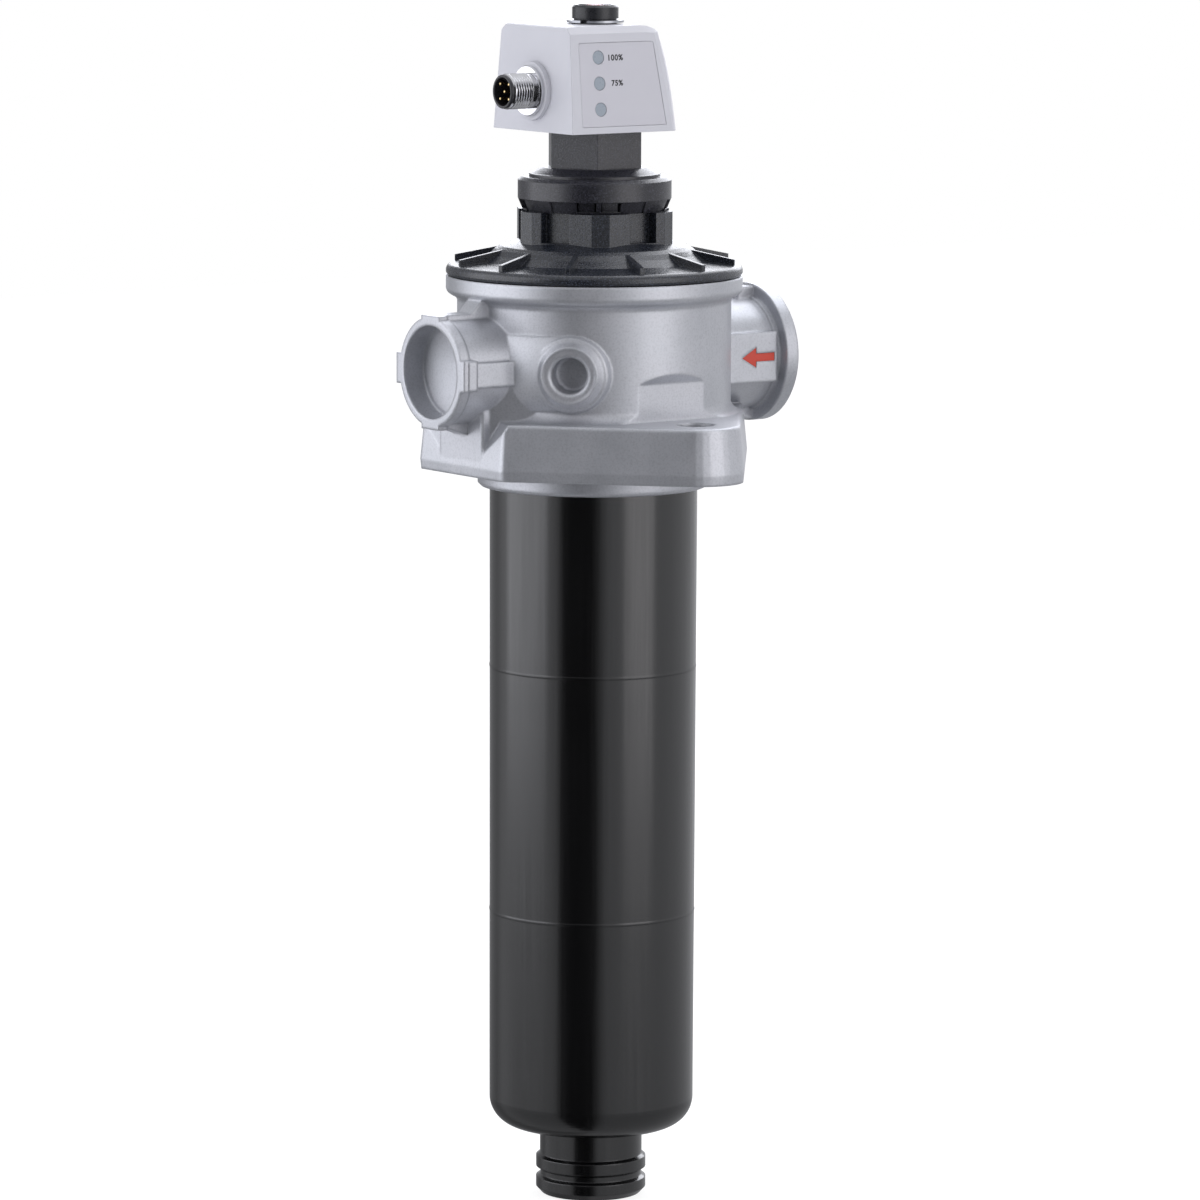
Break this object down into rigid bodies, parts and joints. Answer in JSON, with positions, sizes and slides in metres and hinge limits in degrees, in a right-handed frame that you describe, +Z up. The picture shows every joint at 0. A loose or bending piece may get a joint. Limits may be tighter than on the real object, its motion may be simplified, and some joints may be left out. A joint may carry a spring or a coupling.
{
  "type": "tank top return line filter",
  "caption": "Return line filter for a tank top: die-cast head with flange, inlet and blanked port, long black bowl with outlet neck, screw cover with clogging indicator and switch box.",
  "frame": {"origin": "centre of the flange's seating face, on the filter's axis, where the tank top touches it", "axes": "+Z up along the filter's axis towards the indicator, +X towards the inlet port, the blanked port looks along -X, the two tank bolts lie on Y"},
  "size_m": [0.1355, 0.1476, 0.4053],
  "materials": {
    "cast_aluminium": "satin, shot blasted",
    "red_paint": "matt",
    "seal_rubber": "matt",
    "bowl_plastic": "satin",
    "cover_plastic": "fine grain",
    "adapter_plastic": "fine grain",
    "element_plastic": "satin",
    "filter_media": "fibrous",
    "core_plastic": "satin",
    "brass": "turned",
    "spring_steel": "drawn wire",
    "piston_metal": "turned",
    "magnet": "sintered",
    "red_plastic": "gloss",
    "cap_plastic": "semi gloss",
    "clear_plastic": "clear",
    "box_plastic": "satin",
    "label_film": "matt film",
    "led_plastic": "translucent",
    "board": "solder mask",
    "reed_glass": "clear glass",
    "nickel": "nickel plated",
    "insert_plastic": "matt",
    "gold": "gold plated"
  },
  "bodies": {
    "filter": {"filter_head": "cast_aluminium", "flow_arrow": "red_paint", "tank_seal": "seal_rubber", "filter_bowl": "bowl_plastic", "bowl_seal": "seal_rubber", "element_bottom_cap": "element_plastic", "element_seal": "seal_rubber", "pleated_media": "filter_media", "support_core": "core_plastic", "element_top_cap": "element_plastic", "bypass_cage": "core_plastic", "bypass_spring": "spring_steel"},
    "cover": {"screw_cover": "cover_plastic", "cover_seal": "seal_rubber", "indicator_adapter": "adapter_plastic", "adapter_seal": "seal_rubber", "piston_retainer": "brass", "indicator_spring": "spring_steel", "indicator_cap": "cap_plastic", "indicator_window": "clear_plastic", "retaining_ring": "spring_steel"},
    "switch_box": {"switch_housing": "box_plastic", "housing_base": "box_plastic", "label_panel": "label_film", "led_windows": "led_plastic", "circuit_board": "board", "reed_switches": "reed_glass", "connector_shell": "nickel", "connector_insert": "insert_plastic", "contact_pins": "gold"},
    "indicator": {"indicator_piston": "piston_metal", "piston_magnet": "magnet", "red_button": "red_plastic"},
    "bypass_valve": {"bypass_poppet": "brass"}
  },
  "joints": [
    {"name": "cover_lift", "type": "slide", "parent": "filter", "child": "cover", "axis": [0, 0, 1], "range_m": [0, 0.06]},
    {"name": "switch_turn", "type": "hinge", "parent": "cover", "child": "switch_box", "pos_m": [0, 0, 0.13], "axis": [0, 0, 1], "continuous": true},
    {"name": "indicator_pop", "type": "slide", "parent": "cover", "child": "indicator", "axis": [0, 0, 1], "range_m": [0, 0.0018], "stiffness_N_per_m": 1500, "springref_m": -0.002, "deforming": ["indicator_spring"]},
    {"name": "bypass_open", "type": "slide", "parent": "filter", "child": "bypass_valve", "axis": [0, 0, -1], "range_m": [0, 0.005], "stiffness_N_per_m": 2000, "springref_m": -0.004, "deforming": ["bypass_spring"]}
  ]
}
